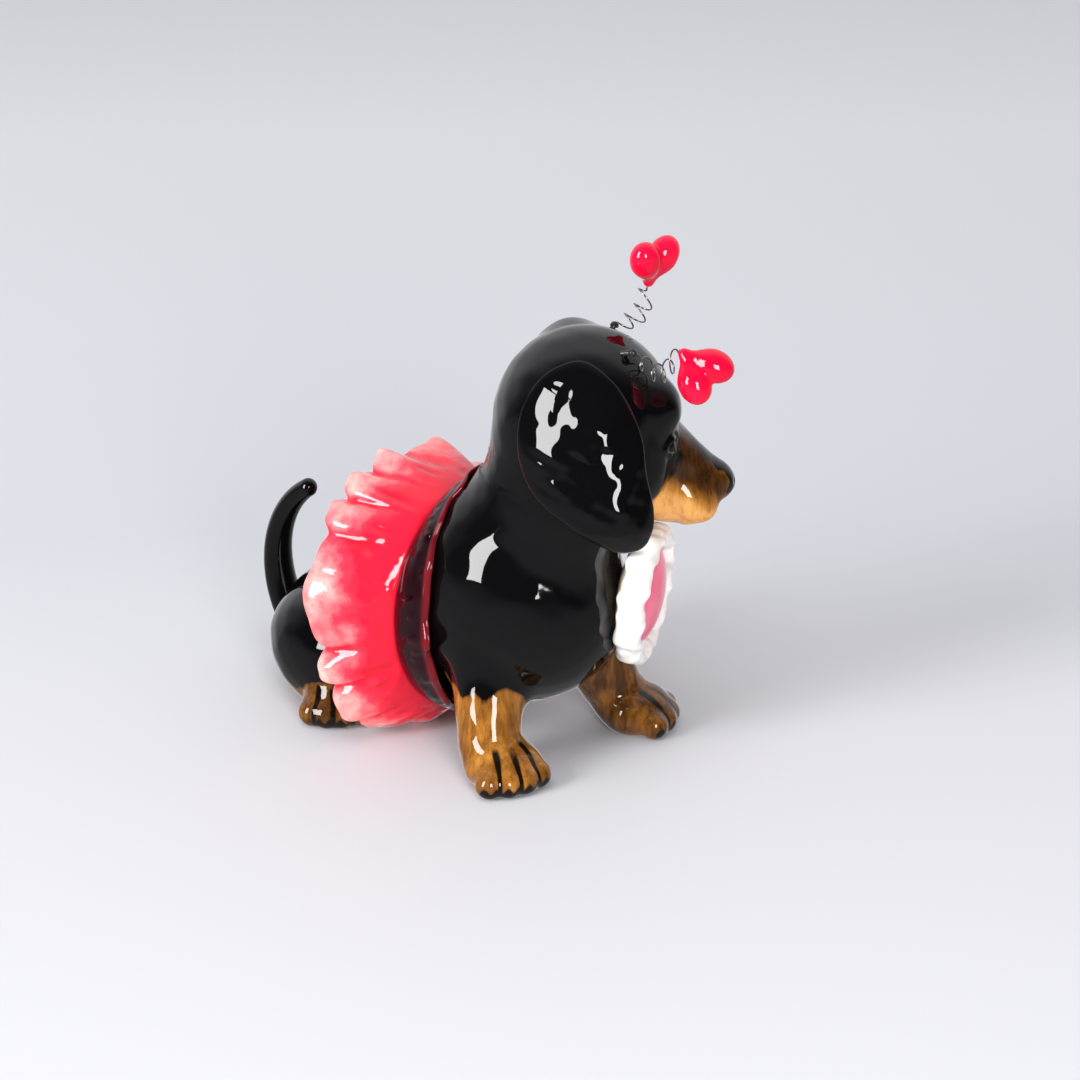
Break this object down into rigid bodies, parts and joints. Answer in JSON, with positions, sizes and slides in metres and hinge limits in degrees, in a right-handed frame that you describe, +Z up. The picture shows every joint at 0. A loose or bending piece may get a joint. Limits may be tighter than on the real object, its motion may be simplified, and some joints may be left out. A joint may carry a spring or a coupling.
{
  "type": "ceramic dog figurine",
  "caption": "Sitting glazed ceramic dachshund in a ruffled skirt, with a round chest plaque and two hearts on spring-wire antennas.",
  "frame": {"origin": "a point of the flat seat under the rump, on the body's centreline, on the floor", "axes": "-Y is where the dog's chest points, +X its left, +Z up"},
  "size_m": [0.0943, 0.1724, 0.1557],
  "materials": {
    "black_glaze": "high gloss black glaze, brushed tan on muzzle, legs and paws",
    "tan_glaze": "gloss tan glaze brushed over with dark brown",
    "skirt_glaze": "gloss glaze, deep red at the waist fading to pale pink at the rim",
    "band_glaze": "gloss maroon glaze",
    "trim_glaze": "satin white glaze",
    "face_glaze": "gloss pink glaze",
    "backing_clay": "bare beige clay",
    "heart_glaze": "high gloss red glaze",
    "spring_wire": "bright drawn wire",
    "glue": "dark glue bead"
  },
  "bodies": {
    "figurine": {"torso_shell": "black_glaze", "head_shell": "black_glaze", "ear_left": "black_glaze", "ear_right": "black_glaze", "front_leg_left": "tan_glaze", "front_leg_right": "tan_glaze", "hind_leg_left": "black_glaze", "hind_leg_right": "black_glaze", "tail": "black_glaze", "tutu_frill": "skirt_glaze", "waistband": "band_glaze", "plaque_back": "backing_clay", "plaque_trim": "trim_glaze", "plaque_face": "face_glaze", "wire_anchor_left": "glue", "wire_anchor_right": "glue"},
    "antenna_left": {"antenna_spring_left": "spring_wire"},
    "heart_left": {"heart_left": "heart_glaze"},
    "antenna_right": {"antenna_spring_right": "spring_wire"},
    "heart_right": {"heart_right": "heart_glaze"}
  },
  "joints": [
    {"name": "antenna_left_sway", "type": "hinge", "parent": "figurine", "child": "antenna_left", "pos_m": [0.02365, -0.08266, 0.1292], "axis": [-0.5365, 0.4503, 0.7137], "range_deg": [-12, 12], "stiffness_Nm_per_rad": 0.015, "springref_deg": -0.14, "deforming": ["antenna_spring_left"]},
    {"name": "heart_left_nod", "type": "hinge", "parent": "antenna_left", "child": "heart_left", "pos_m": [0.03426, -0.08642, 0.13956], "axis": [0.6428, 0.766, 0], "range_deg": [-15, 15], "stiffness_Nm_per_rad": 0.015, "springref_deg": -0.14},
    {"name": "antenna_right_sway", "type": "hinge", "parent": "figurine", "child": "antenna_right", "pos_m": [0.00693, -0.10258, 0.1292], "axis": [-0.0515, 0.1784, 0.9826], "range_deg": [-12, 12], "stiffness_Nm_per_rad": 0.015, "deforming": ["antenna_spring_right"]},
    {"name": "heart_right_nod", "type": "hinge", "parent": "antenna_right", "child": "heart_right", "pos_m": [0.01091, -0.11636, 0.13191], "axis": [0.9608, 0.2773, 0], "range_deg": [-15, 15], "stiffness_Nm_per_rad": 0.015, "springref_deg": -0.77}
  ]
}
